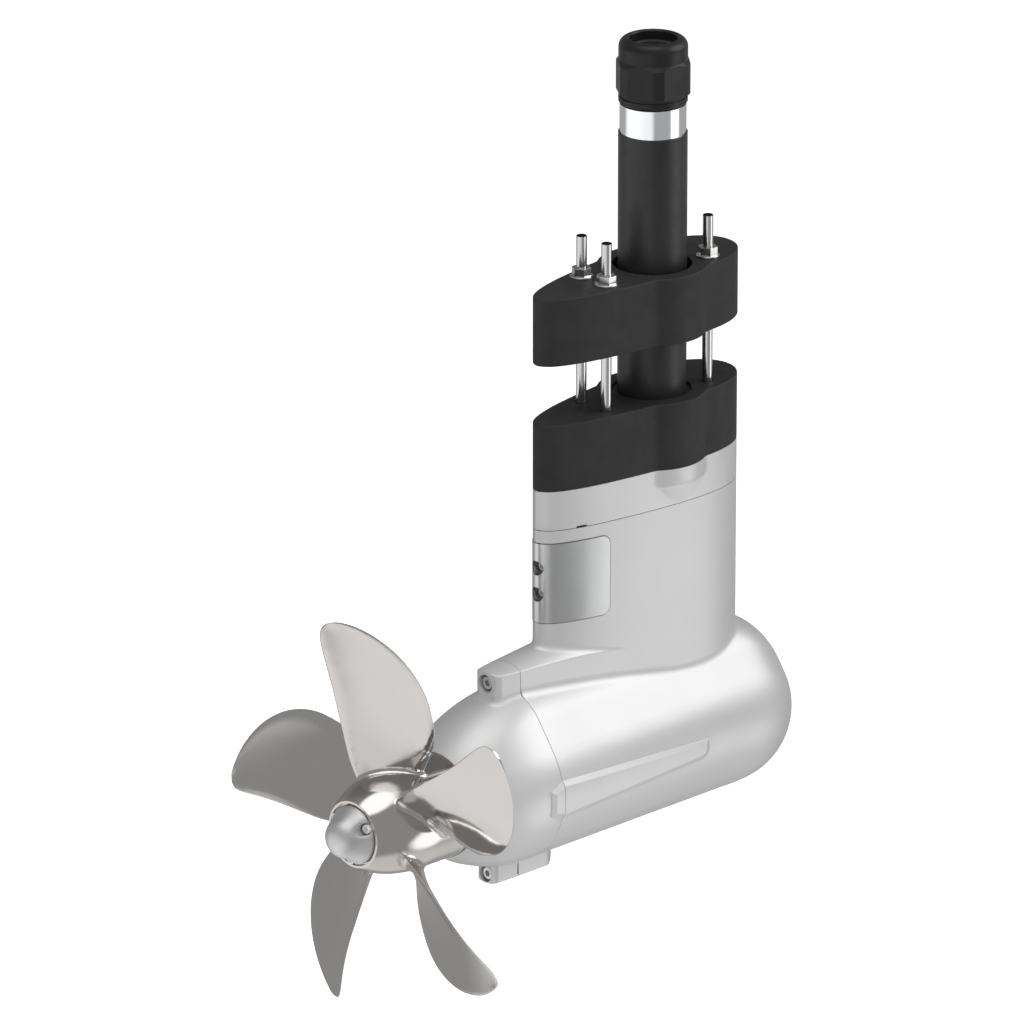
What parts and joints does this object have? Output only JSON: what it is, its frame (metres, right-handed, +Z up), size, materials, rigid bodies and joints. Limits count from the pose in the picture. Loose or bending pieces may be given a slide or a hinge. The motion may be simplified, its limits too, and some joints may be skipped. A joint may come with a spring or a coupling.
{
  "type": "electric pod drive",
  "caption": "Fixed electric pod drive: faired strut with a motor pod and a bladed propeller under a two-block hull clamp, with a cable tube and gland on top.",
  "frame": {"origin": "on the mounting tube's axis, on the lower clamp block's top face, where the hull's outer face rests", "axes": "+X forward, away from the propeller; +Y to port; +Z up along the mounting tube, into the boat"},
  "size_m": [0.4635, 0.2905, 0.6986],
  "materials": {
    "satin_silver_paint": "satin silver paint on cast aluminium",
    "matt_black_plastic": "matt",
    "bare_tube_metal": "satin",
    "stainless_fasteners": "satin",
    "polished_stainless": "polished",
    "anode_plate": "polished",
    "anode_cone": "matt zinc grey",
    "black_rubber": "matt",
    "gland_claw_plastic": "matt",
    "core_steel": "satin",
    "copper_wire": "enamelled copper wire",
    "magnet_plate": "nickel plated",
    "bearing_steel": "ground",
    "bearing_cage_plastic": "matt",
    "cast_aluminium": "as cast",
    "circuit_board": "solder mask",
    "capacitor_can": "satin",
    "black_epoxy": "moulded",
    "terminal_plastic": "moulded"
  },
  "bodies": {
    "drive": {"pod_housing": "satin_silver_paint", "aft_housing": "satin_silver_paint", "housing_bolts": "stainless_fasteners", "housing_seal": "black_rubber", "strut_cap": "satin_silver_paint", "cap_gasket": "black_rubber", "cap_screws": "stainless_fasteners", "lower_block": "matt_black_plastic", "clamp_studs": "stainless_fasteners", "mounting_tube": "bare_tube_metal", "tube_sleeve": "matt_black_plastic", "tube_seal": "black_rubber", "gland_body": "matt_black_plastic", "gland_gasket": "black_rubber", "strut_anode": "anode_plate", "strut_anode_screws": "stainless_fasteners", "stator_core": "core_steel", "stator_coils": "copper_wire", "aft_bearing_outer": "bearing_steel", "fore_bearing_outer": "bearing_steel", "bearing_clip": "stainless_fasteners", "shaft_seals": "black_rubber", "motor_bracket": "cast_aluminium", "bracket_screws": "stainless_fasteners", "phase_leads": "black_rubber", "board_posts": "stainless_fasteners", "controller_board": "circuit_board", "capacitors": "capacitor_can", "power_modules": "black_epoxy", "cable_terminals": "terminal_plastic", "encoder_board": "circuit_board"},
    "gland_insert": {"gland_seal": "black_rubber", "gland_claw": "gland_claw_plastic"},
    "gland_cap": {"gland_nut": "matt_black_plastic"},
    "upper_clamp": {"upper_block": "matt_black_plastic", "flange_nuts": "stainless_fasteners"},
    "propeller_set": {"propeller": "polished_stainless", "prop_washer": "stainless_fasteners", "prop_nut": "stainless_fasteners", "drive_pin": "stainless_fasteners", "cone_anode": "anode_cone", "cone_screws": "stainless_fasteners", "prop_shaft": "polished_stainless", "rotor_core": "core_steel", "rotor_magnets": "magnet_plate", "aft_bearing_inner": "bearing_steel", "fore_bearing_inner": "bearing_steel", "encoder_magnet": "magnet_plate"},
    "aft_cage": {"aft_bearing_cage": "bearing_cage_plastic", "aft_bearing_balls": "bearing_steel"},
    "fore_cage": {"fore_bearing_cage": "bearing_cage_plastic", "fore_bearing_balls": "bearing_steel"}
  },
  "joints": [
    {"name": "propeller_spin", "type": "hinge", "parent": "drive", "child": "propeller_set", "pos_m": [0, 0, -0.2739], "axis": [1, 0, 0], "continuous": true},
    {"name": "aft_cage_spin", "type": "hinge", "parent": "drive", "child": "aft_cage", "pos_m": [-0.1825, 0, -0.2739], "axis": [1, 0, 0], "continuous": true},
    {"name": "fore_cage_spin", "type": "hinge", "parent": "drive", "child": "fore_cage", "pos_m": [-0.017, 0, -0.2739], "axis": [1, 0, 0], "continuous": true},
    {"name": "clamp_slide", "type": "slide", "parent": "drive", "child": "upper_clamp", "axis": [0, 0, 1], "range_m": [-0.046, 0.024]},
    {"name": "gland_insert_travel", "type": "slide", "parent": "drive", "child": "gland_insert", "axis": [0, 0, 1], "range_m": [0, 0.003]},
    {"name": "gland_nut_turn", "type": "hinge", "parent": "gland_insert", "child": "gland_cap", "pos_m": [0, 0, 0.25], "axis": [0, 0, 1], "range_deg": [0, 720]}
  ],
  "couplings": [
    {"joint": "aft_cage_spin", "follows": "propeller_spin", "ratio": 0.3969},
    {"joint": "fore_cage_spin", "follows": "propeller_spin", "ratio": 0.3815},
    {"joint": "gland_insert_travel", "follows": "gland_nut_turn", "m_per_rad": 0.00023873}
  ]
}
